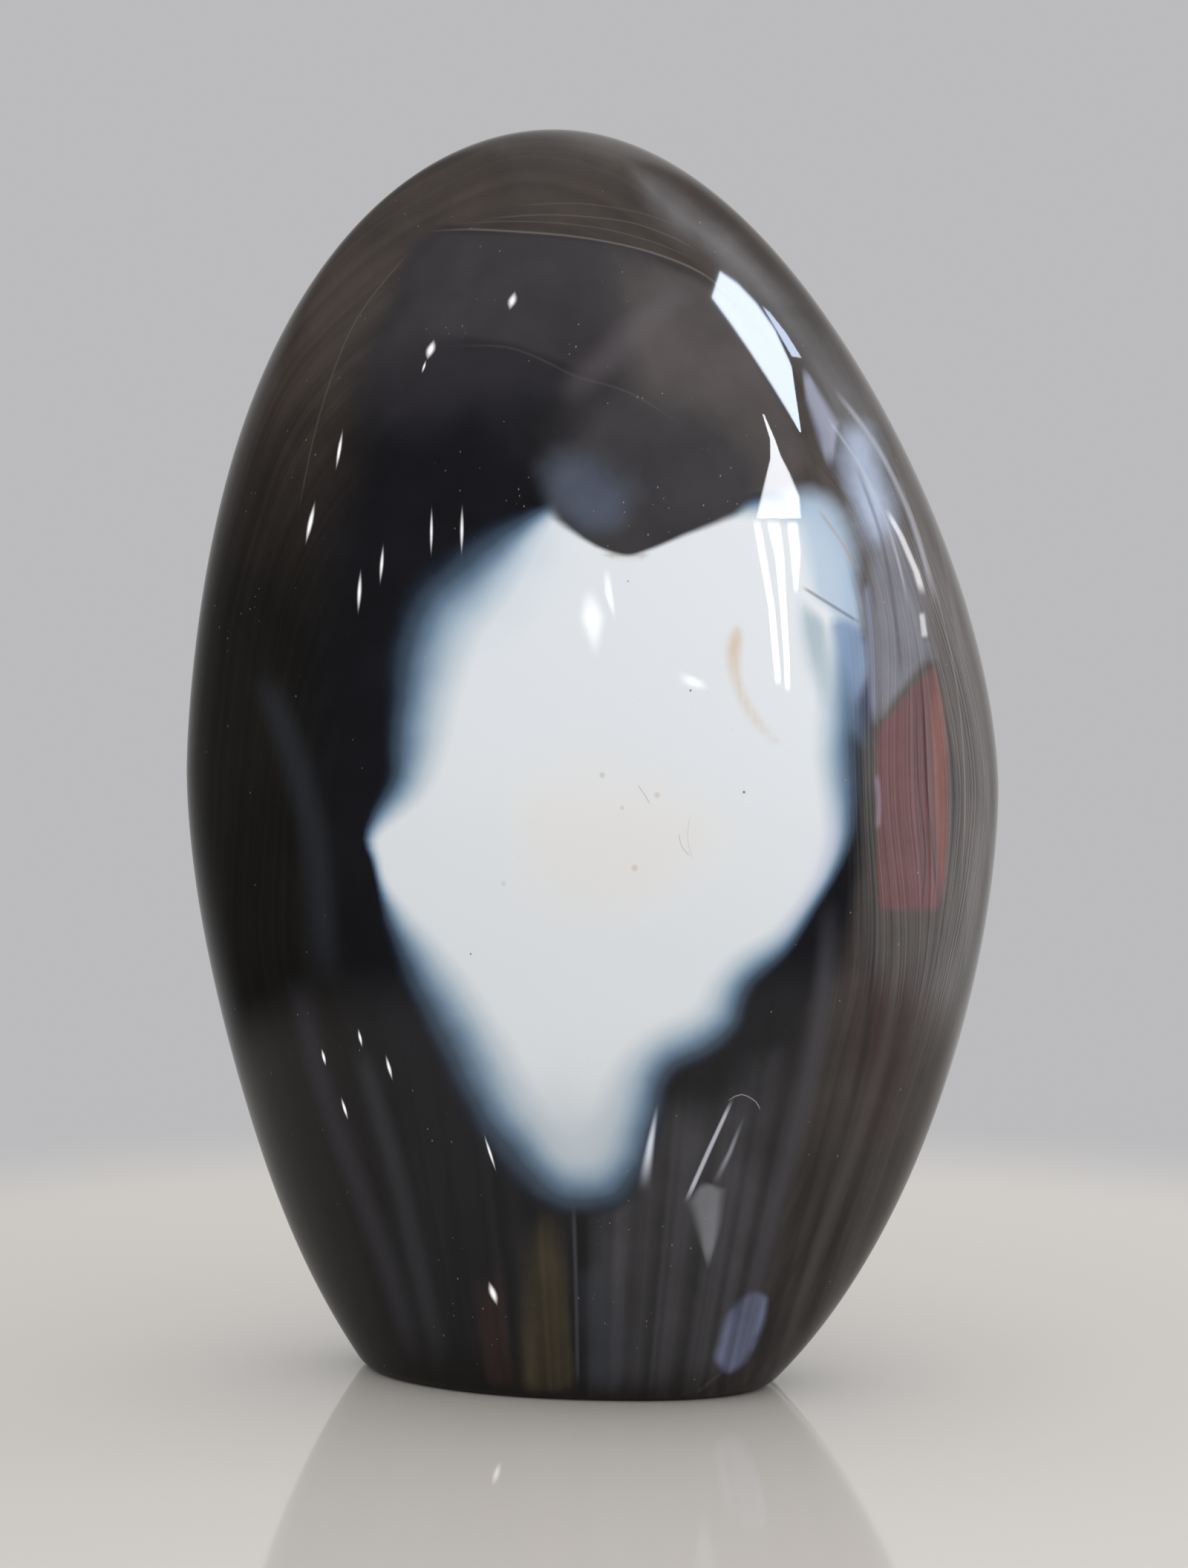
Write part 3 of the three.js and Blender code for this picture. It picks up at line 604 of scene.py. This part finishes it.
def buildAgate(material):
    material.use_nodes = True
    tree = material.node_tree
    tree.nodes.clear()
    coordinates = addNode(tree, "ShaderNodeTexCoord")
    place = addNode(tree, "ShaderNodeVectorMath", [coordinates.outputs["Object"], (1000, 1000, 1000)],
                    operation="MULTIPLY")  # millimetres
    x, y, z = addNode(tree, "ShaderNodeSeparateXYZ", [place]).outputs
    facing = ("ADD", y, ("MULTIPLY", x, stoneShape["Twist Share"]))
    front = ramp(tree, facing, 9, 2)
    wander = addNode(tree, "ShaderNodeTexNoise", {
        "Vector": place, "Scale": 1 / stoneGrain["wanderSize"], "Detail": 3.0})
    wander = addNode(tree, "ShaderNodeMath", [wander, 0.5], operation="SUBTRACT")
    colour = groundColour(tree, place, x, y, z)

    covers = {}
    for name, patch in stonePatches.items():
        share = addNode(tree, "ShaderNodeMath", [wander, patch["wander"] * 2, stored(tree, name)],
                        operation="MULTIPLY_ADD")
        full = ramp(tree, share, 0, 1)
        limit = ramp(tree, stored(tree, patch["within"]), 0.35, 0.9) if "within" in patch else 1
        cover = addNode(tree, "ShaderNodeMath", [
            ("MULTIPLY", full, ("MULTIPLY", limit, patch["cover"])), front], operation="MULTIPLY")
        paint = linear(patch["colour"])
        if name == "white":
            depth = addNode(tree, "ShaderNodeValToRGB", [share])
            stops = depth.color_ramp.elements
            stops[0].color = linear(whiteDepth[0.0])
            stops[-1].color = linear(whiteDepth[1.0])
            for position, tone in list(whiteDepth.items())[1:-1]:
                stops.new(position).color = linear(tone)
            paint = depth
            cover = addNode(tree, "ShaderNodeMath", [
                ramp(tree, share, 0, 0.2), front], operation="MULTIPLY")
        covers[name] = cover
        colour = blend(tree, cover, colour, paint)

    # soft streaks that fan up from the foot, then clouds
    white = ("MULTIPLY", covers["white"], ("SUBTRACT", 1, covers["lobe"]))
    dark = addNode(tree, "ShaderNodeMath", [1, white], operation="SUBTRACT")
    fan = ("DIVIDE", x, ("ADD", z, stoneGrain["fanFoot"]))
    streak = addNode(tree, "ShaderNodeTexNoise", {
        "W": ("MULTIPLY", fan, stoneGrain["fanStreaks"]), "Detail": 2.0, "Roughness": 0.4},
        noise_dimensions="1D")
    streak = ("MULTIPLY", ramp(tree, streak, 0.3, 0.7, -0.38, 0.42), ramp(tree, z, 46, 10))
    cloud = addNode(tree, "ShaderNodeTexNoise", {
        "Vector": place, "Scale": 1 / stoneGrain["cloudSize"], "Detail": 4.0, "Roughness": 0.6})
    cloud = ramp(tree, cloud, 0.25, 0.75, -0.2, 0.2)
    tone = ("ADD", 1, ("MULTIPLY", ("ADD", streak, cloud), dark))
    colour = addNode(tree, "ShaderNodeVectorMath", {"Vector": colour, "Scale": tone}, operation="SCALE")

    for name, (_, halfWidth, tint, strength) in stoneLinesAndGleams.items():
        off = ("DIVIDE", ("ABSOLUTE", stored(tree, name + " side")), halfWidth)
        along = stored(tree, name + " along")
        ends = ("MULTIPLY", ramp(tree, along, 0, 0.2), ramp(tree, along, 1, 0.8))
        cover = ("MULTIPLY", ("MULTIPLY", ramp(tree, off, 1, 0), ends), ("MULTIPLY", front, strength))
        colour = blend(tree, cover, colour, linear(tint))
    for pixel, radius, tint, strength in stoneFlecks:
        middle = stoneUnder(pixel)[0] / mm
        far = addNode(tree, "ShaderNodeVectorMath", [place, tuple(middle)], operation="DISTANCE")
        ragged = ("ADD", far.outputs["Value"], ("MULTIPLY", wander, radius * 1.5))
        cover = ("MULTIPLY", ramp(tree, ragged, radius, radius * 0.4), strength)
        colour = blend(tree, cover, colour, linear(tint))

    # dust in drifts
    fibres = addNode(tree, "ShaderNodeVectorMath", [place, (1, 1, 0.55)], operation="MULTIPLY")
    cells = addNode(tree, "ShaderNodeTexVoronoi", {
        "Vector": fibres, "Scale": 1 / stoneGrain["speckCell"]})
    drift = addNode(tree, "ShaderNodeTexNoise", {
        "Vector": place, "Scale": 1 / stoneGrain["driftSize"], "Detail": 2.0})
    chance = ramp(tree, drift, 0.5, 0.75, 0.015, 0.3)
    for name in stoneDust:
        chance = ("ADD", chance, ramp(tree, stored(tree, name), 0, 1.2, 0, 0.7))
    chance = ("MULTIPLY", chance, front)
    pick = addNode(tree, "ShaderNodeSeparateXYZ", [cells.outputs["Color"]])
    biggest = stoneGrain["speckRadius"] / stoneGrain["speckCell"]
    size = ("MULTIPLY", ("ADD", 0.35, ("MULTIPLY", pick.outputs["Y"], 0.65)), biggest)
    size = ("MULTIPLY", size, ("LESS_THAN", pick.outputs["X"], chance))
    speck = addNode(tree, "ShaderNodeMath", [cells.outputs["Distance"], size], operation="LESS_THAN")
    dusty = ("MULTIPLY", speck, stoneGrain["speckStrength"])
    colour = blend(tree, dusty, colour, linear(stoneColours["speck"]))
    roughness = addNode(tree, "ShaderNodeMath", [
        speck, stonePolish["dustRoughness"], stonePolish["roughness"]], operation="MULTIPLY_ADD")

    polish = addNode(tree, "ShaderNodeBsdfPrincipled", {
        "Base Color": colour, "Roughness": roughness, "IOR": stonePolish["ior"]})
    output = tree.nodes.new("ShaderNodeOutputMaterial")
    tree.links.new(polish.outputs[0], output.inputs["Surface"])


buildAgate(agate)
print("agate painted")
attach(stone, "root")
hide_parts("stone")

# The room: a pale glossy tabletop, a plain pale wall and soft daylight. What the polish mirrors is
# a darker room than the one that lights the stone.
room = {
    "floor": "#d0cbc6",
    "floorMirrored": "#8f8b87",  # its part that the stone mirrors lies in shade
    "floorSize": 0.60,
    "fadeFrom": 0.095,  # the table's far edge melts into the wall
    "fadeTo": 0.140,
    "wall": "#bbbbbd",
    "wallLight": 0.5,  # what the polish mirrors behind the stone
    "nightLight": 0.04,  # and in front of it
    "sideLight": 1.1,  # and to its right
    "ceilingLight": 0.35,
    "daylight": 1.06,  # what lights the stone, with how much more comes from +X, +Y and +Z
    "daylightSlant": (0.16, -0.1, 0.22),
}


def makeFloor():
    mesh = bpy.data.meshes.new("floor")
    half = room["floorSize"] / 2
    corners = [(-half, -half, 0), (half, -half, 0), (half, half, 0), (-half, half, 0)]
    mesh.from_pydata(corners, [], [(0, 1, 2, 3)])
    floor = bpy.data.objects.new("floor", mesh)
    bpy.context.scene.collection.objects.link(floor)
    # a lacquered top, so the stone's own mirror image shows faintly in it
    material = bpy.data.materials.new("pale glossy tabletop")
    material.use_nodes = True
    tree = material.node_tree
    tree.nodes.clear()
    coordinates = addNode(tree, "ShaderNodeTexCoord")
    far = addNode(tree, "ShaderNodeVectorMath", [coordinates.outputs["Object"]], operation="LENGTH")
    kind = addNode(tree, "ShaderNodeLightPath").outputs["Is Glossy Ray"]
    colour = blend(tree, kind, linear(room["floor"]), linear(room["floorMirrored"]))
    top = addNode(tree, "ShaderNodeBsdfPrincipled", {"Base Color": colour, "Roughness": 0.05, "IOR": 1.5})
    clear = addNode(tree, "ShaderNodeBsdfTransparent")
    fade = ramp(tree, far.outputs["Value"], room["fadeFrom"], room["fadeTo"])
    both = addNode(tree, "ShaderNodeMixShader", [fade, top, clear])
    output = tree.nodes.new("ShaderNodeOutputMaterial")
    tree.links.new(both.outputs[0], output.inputs["Surface"])
    mesh.materials.append(material)


def makeRoom():
    world = bpy.data.worlds.new("room")
    bpy.context.scene.world = world
    world.use_nodes = True
    tree = world.node_tree
    tree.nodes.clear()
    coordinates = addNode(tree, "ShaderNodeTexCoord")
    x, y, z = addNode(tree, "ShaderNodeSeparateXYZ", [coordinates.outputs["Generated"]]).outputs
    dusk = ramp(tree, x, 0.2, -0.2, 0, 0.6)  # the wall is darker to the left
    behind = ramp(tree, ("SUBTRACT", y, dusk), -0.1, 0.75, room["nightLight"], room["wallLight"])
    beside = ramp(tree, x, 0.6, 0.95, 0, room["sideLight"])
    drapes = addNode(tree, "ShaderNodeTexNoise", {
        "W": ("MULTIPLY", y, 9), "Detail": 3.0, "Roughness": 0.7}, noise_dimensions="1D")
    above = ramp(tree, z, 0.3, 0.95, 0, room["ceilingLight"])
    folds = ramp(tree, drapes, 0.35, 0.65, 0.25, 1.3)
    gloss = ("ADD", ("ADD", behind, above), ("MULTIPLY", beside, folds))
    # soft daylight, a little more from above and from the right
    byX, byY, byZ = (("MULTIPLY", axis, share) for axis, share in zip((x, y, z), room["daylightSlant"]))
    daylight = ("ADD", room["daylight"], ("ADD", byX, ("ADD", byZ, byY)))
    kind = addNode(tree, "ShaderNodeLightPath")
    seen = addNode(tree, "ShaderNodeMix", {
        "Factor": kind.outputs["Is Glossy Ray"], "A": daylight, "B": gloss}, data_type="FLOAT")
    soft = addNode(tree, "ShaderNodeBackground", {"Color": (1, 1, 1, 1), "Strength": seen})
    wall = addNode(tree, "ShaderNodeBackground", {"Color": linear(room["wall"]), "Strength": 1.0})
    both = addNode(tree, "ShaderNodeMixShader", [kind.outputs["Is Camera Ray"], soft, wall])
    output = tree.nodes.new("ShaderNodeOutputWorld")
    tree.links.new(both.outputs[0], output.inputs["Surface"])


# Each lamp as the photo shows it mirrored in the polish: its left and right edges in pixels, from
# the top down, then its strength, its colour, how far from the stone it hangs in metres, and what
# share of its width and of its height it takes to fade in.
farLamp = 1.3
nearLamp = 0.012  # for those that the table would hide
crisp, hazy, blurred = (0.08, 0), (0.35, 0.2), (0.5, 0.5)
lamps = {
    "windowHigh": ([(958, 402), (984, 438), (1010, 476), (1038, 519), (1062, 558), (1077, 582)],
                   [(970, 364), (994, 380), (1019, 406), (1043, 440), (1066, 490), (1079, 582)],
                   21, "#dbe8ff", farLamp, crisp),
    "windowPane": ([(1026, 412), (1044, 442), (1066, 480)], [(1038, 422), (1060, 450), (1080, 482)],
                   15, "#cfe0ff", farLamp, crisp),
    "windowDim": ([(1078, 492), (1082, 540), (1096, 590), (1113, 634)],
                  [(1084, 492), (1106, 524), (1134, 566), (1122, 638)], 7, "#cfd8f6", farLamp, hazy),
    "windowLow": ([(1027, 558), (1037, 592), (1037, 618), (1030, 645), (1022, 676), (1018, 698)],
                  [(1029, 558), (1044, 592), (1052, 614), (1064, 636), (1078, 668), (1080, 698)],
                  19, "#f6f8ff", farLamp, crisp),
    "paneLeft": ([(1013, 698), (1022, 750), (1034, 817), (1040, 884), (1044, 924)],
                 [(1024, 698), (1033, 750), (1044, 817), (1050, 884), (1053, 924)],
                 17, "#ffffff", farLamp, (0.2, 0.1)),
    "paneMiddle": ([(1030, 698), (1043, 750), (1050, 817), (1055, 884), (1057, 934)],
                   [(1051, 698), (1057, 750), (1060, 817), (1064, 884), (1065, 934)],
                   17, "#ffffff", farLamp, (0.2, 0.1)),
    "paneRight": ([(1058, 700), (1063, 745), (1069, 800)], [(1076, 700), (1080, 745), (1075, 800)],
                  13, "#eef4ff", farLamp, (0.3, 0.1)),
    "hallWide": ([(782, 790), (776, 832), (797, 890)], [(804, 787), (820, 832), (808, 890)],
                 8, "#ffffff", farLamp, blurred),
    "hallThin": ([(810, 762), (813, 800), (826, 838)], [(822, 760), (827, 800), (832, 838)],
                 9, "#ffffff", farLamp, blurred),
    "hallDots": ([(908, 898), (914, 926)], [(954, 916), (960, 934)], 7, "#ffffff", farLamp, blurred),
    "sideSlit": ([(1188, 684), (1208, 722), (1228, 770), (1238, 805)],
                 [(1196, 682), (1219, 722), (1240, 770), (1250, 803)], 8, "#ffffff", farLamp, hazy),
    "sideSlitLow": ([(1236, 824), (1240, 862)], [(1246, 822), (1252, 860)], 7, "#ffffff", farLamp, hazy),
    "lowPane": ([(883, 1484), (869, 1540), (853, 1606)], [(889, 1484), (883, 1540), (878, 1608)],
                14, "#f2f4ff", nearLamp, blurred),
    "lowPaneLeft": ([(984, 1478), (950, 1550), (918, 1622)], [(991, 1478), (959, 1550), (927, 1622)],
                    10, "#e6e8f4", nearLamp, hazy),
    "lowPaneRight": ([(1000, 1500), (978, 1552), (952, 1600)], [(1007, 1500), (988, 1552), (968, 1600)],
                     5, "#e6e8f4", nearLamp, blurred),
    "lowDiamond": ([(944, 1590), (922, 1622), (936, 1664), (953, 1712)],
                   [(950, 1590), (982, 1600), (974, 1650), (955, 1712)], 3, "#e8e8f0", nearLamp, hazy),
}
glints = [  # small room lamps: x, y, width, height and lean in pixels, then how far off they are
    (690, 405, 14, 28, -8, farLamp), (580, 471, 14, 30, -10, farLamp), (571, 494, 4, 20, -6, farLamp),
    (418, 704, 8, 64, -14, farLamp), (457, 606, 6, 60, -10, farLamp), (514, 760, 6, 60, -5, farLamp),
    (484, 797, 7, 66, -4, farLamp), (581, 716, 5, 74, -1, farLamp), (622, 714, 6, 76, -1, farLamp),
    (485, 1398, 5, 28, 6, nearLamp), (436, 1424, 5, 26, 6, nearLamp), (524, 1438, 6, 38, 10, nearLamp),
    (464, 1493, 5, 34, 10, nearLamp), (660, 1553, 5, 56, 18, nearLamp), (664, 1742, 12, 36, 12, nearLamp),
    (765, 1822, 8, 20, 1, nearLamp),
]
glintStrength = 24


mirroredIn = bpy.data.collections.new("mirrored in")  # only the stone shows the lamps, not the floor
mirroredIn.objects.link(stone)


def mirrored(pixel, distance):
    # where in the room a lamp is, if its mirror image is seen at this pixel
    point, normal, ray = stoneUnder(pixel)
    return point + ray.reflect(normal).normalized() * distance


def alongEdge(edge, share):
    # the pixel at a share of an edge's length
    at = share * (len(edge) - 1)
    i = min(int(at), len(edge) - 2)
    return [edge[i][k] + (edge[i + 1][k] - edge[i][k]) * (at - i) for k in (0, 1)]


def fade(share, soft):
    # rises from 0 at both ends of a span to 1 further in
    inward = min(share, 1 - share) / soft if soft else 1
    return min(inward, 1) ** 2 * (3 - 2 * min(inward, 1))


def makeLamp(name, left, right, strength, colour, distance, softness, rows=36, columns=14):
    places = []
    glows = []
    for row in range(rows + 1):
        a, b = alongEdge(left, row / rows), alongEdge(right, row / rows)
        for column in range(columns + 1):
            pixel = [a[k] + (b[k] - a[k]) * column / columns for k in (0, 1)]
            places.append(mirrored(pixel, distance))
            glows.append(fade(column / columns, softness[0]) * fade(row / rows, softness[1]))
    wide = columns + 1
    corners = [i for i in range(rows * wide) if i % wide < columns]
    mesh = bpy.data.meshes.new(name)
    mesh.from_pydata(places, [], [(i, i + 1, i + wide + 1, i + wide) for i in corners])
    if mesh.polygons[0].normal.dot(surface.find_nearest(places[0])[0] - places[0]) < 0:
        mesh.flip_normals()
    mesh.attributes.new("glow", "FLOAT", "POINT").data.foreach_set("value", glows)
    lamp = bpy.data.objects.new(name, mesh)
    bpy.context.scene.collection.objects.link(lamp)
    lamp.visible_camera = False
    lamp.visible_diffuse = False
    lamp.visible_shadow = False
    lamp.light_linking.receiver_collection = mirroredIn
    material = bpy.data.materials.new(name + " light")
    material.use_nodes = True
    tree = material.node_tree
    tree.nodes.clear()
    back = addNode(tree, "ShaderNodeNewGeometry").outputs["Backfacing"]  # it shines one way only
    power = ("MULTIPLY", ("MULTIPLY", stored(tree, "glow"), strength), ("SUBTRACT", 1, back))
    light = addNode(tree, "ShaderNodeEmission", {"Color": linear(colour), "Strength": power})
    both = addNode(tree, "ShaderNodeAddShader", [light, addNode(tree, "ShaderNodeBsdfTransparent")])
    output = tree.nodes.new("ShaderNodeOutputMaterial")
    tree.links.new(both.outputs[0], output.inputs["Surface"])
    material.cycles.emission_sampling = "NONE"  # it is only there to be mirrored
    mesh.materials.append(material)


def glintEdge(x, y, wide, high, lean, side):
    # one side of a glint's pointed oval, from the top down
    shares = [i / 6 for i in range(7)]
    bulges = [side * wide / 2 * math.sin(math.pi * t) for t in shares]
    return [(x + (t - 0.5) * lean + bulge, y + (t - 0.5) * high) for t, bulge in zip(shares, bulges)]


makeFloor()
makeRoom()
for name, lamp in lamps.items():
    makeLamp(name, *lamp)
for i, (x, y, wide, high, lean, distance) in enumerate(glints):
    edges = [glintEdge(x, y, wide, high, lean, side) for side in (-1, 1)]
    makeLamp(f"glint{i}", *edges, glintStrength, "#ffffff", distance, blurred, rows=12, columns=6)
bpy.context.scene.view_settings.view_transform = "Standard"
print("room and lamps ready")
